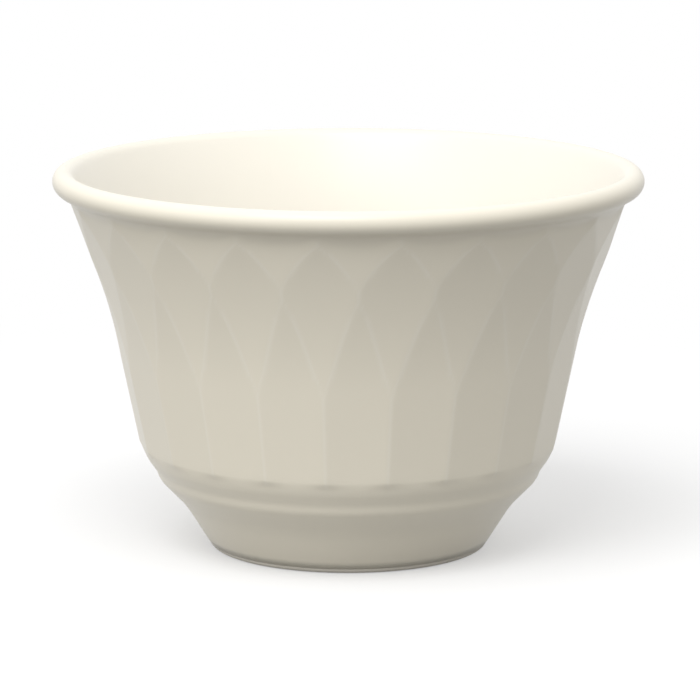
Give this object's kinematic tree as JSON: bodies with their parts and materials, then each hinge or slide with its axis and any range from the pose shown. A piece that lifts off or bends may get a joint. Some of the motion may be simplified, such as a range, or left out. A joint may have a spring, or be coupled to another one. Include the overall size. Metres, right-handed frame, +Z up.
{
  "type": "bouillon cup",
  "caption": "Handleless soup cup of glazed hotel china with a rolled rim, a flared wall of interlaced gothic arches, a stepped shoulder and a tapered foot with a dry ring.",
  "frame": {"origin": "centre of the foot on the table, on the cup's axis", "axes": "+Z up along the cup's axis, out of the mouth; +X along one of the upright ridges"},
  "size_m": [0.098, 0.098, 0.0636],
  "materials": {
    "fired_clay": "dry, unglazed vitrified clay, ground flat where it stands",
    "ivory_glaze": "glossy ivory glaze"
  },
  "bodies": {
    "root": {"china_body": "fired_clay", "glaze_coat": "ivory_glaze", "base_glaze": "ivory_glaze"}
  },
  "joints": []
}
